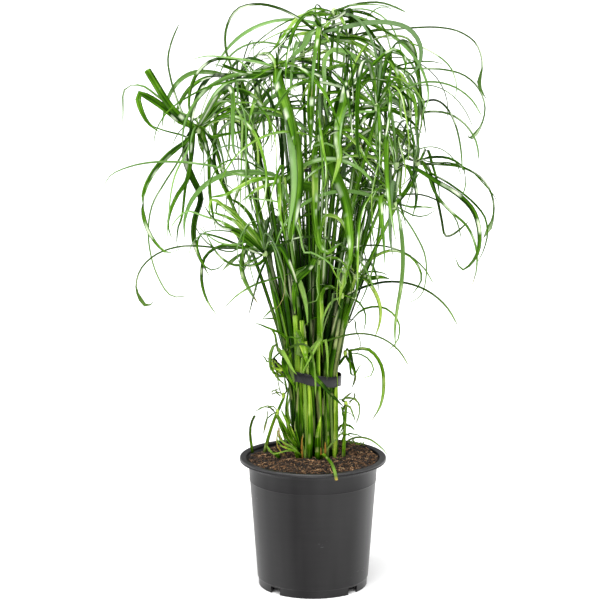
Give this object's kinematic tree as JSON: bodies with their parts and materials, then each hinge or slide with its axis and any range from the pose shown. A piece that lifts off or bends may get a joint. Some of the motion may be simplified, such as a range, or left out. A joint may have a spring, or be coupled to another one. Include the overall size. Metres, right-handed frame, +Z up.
{
  "type": "potted papyrus plant",
  "caption": "Umbrella papyrus in a plain black nursery pot: a strapped bundle of green stems, each topped with a crown of long, arching leaves",
  "frame": {"origin": "the middle of the pot's underside, on the surface that the pot stands on", "axes": "+Z up along the pot's axis, +X to the right in the picture, +Y away from the picture's viewer"},
  "size_m": [0.4458, 0.387, 0.6739],
  "materials": {
    "pot_plastic": "satin",
    "strap_plastic": "satin",
    "peat": "rough, fibrous",
    "stem_green": "smooth, fresh",
    "leaf_green": "smooth, satin"
  },
  "bodies": {
    "root": {"pot": "pot_plastic", "soil": "peat", "strap": "strap_plastic", "upper_tie": "strap_plastic", "culm_01": "stem_green", "culm_02": "stem_green", "culm_03": "stem_green", "culm_04": "stem_green", "culm_05": "stem_green", "culm_06": "stem_green", "culm_07": "stem_green", "culm_08": "stem_green", "culm_09": "stem_green", "culm_10": "stem_green", "culm_11": "stem_green", "culm_12": "stem_green", "culm_13": "stem_green", "culm_14": "stem_green", "culm_15": "stem_green", "culm_16": "stem_green", "culm_17": "stem_green", "culm_18": "stem_green", "culm_19": "stem_green", "culm_20": "stem_green", "cut_stem_01": "stem_green", "cut_stem_02": "stem_green", "crown_01": "leaf_green", "crown_02": "leaf_green", "crown_03": "leaf_green", "crown_04": "leaf_green", "crown_05": "leaf_green", "crown_06": "leaf_green", "crown_07": "leaf_green", "crown_08": "leaf_green", "crown_09": "leaf_green", "crown_10": "leaf_green", "crown_11": "leaf_green", "crown_12": "leaf_green", "crown_13": "leaf_green", "crown_14": "leaf_green", "crown_15": "leaf_green", "crown_16": "leaf_green", "crown_17": "leaf_green", "crown_18": "leaf_green", "crown_19": "leaf_green", "crown_20": "leaf_green", "shoot_01": "leaf_green", "shoot_02": "leaf_green", "shoot_03": "leaf_green", "shoot_04": "leaf_green", "shoot_05": "leaf_green", "shoot_06": "leaf_green", "shoot_07": "leaf_green", "shoot_08": "leaf_green", "shoot_09": "leaf_green", "shoot_10": "leaf_green", "blade_left": "leaf_green", "blade_over_rim": "leaf_green"}
  },
  "joints": []
}
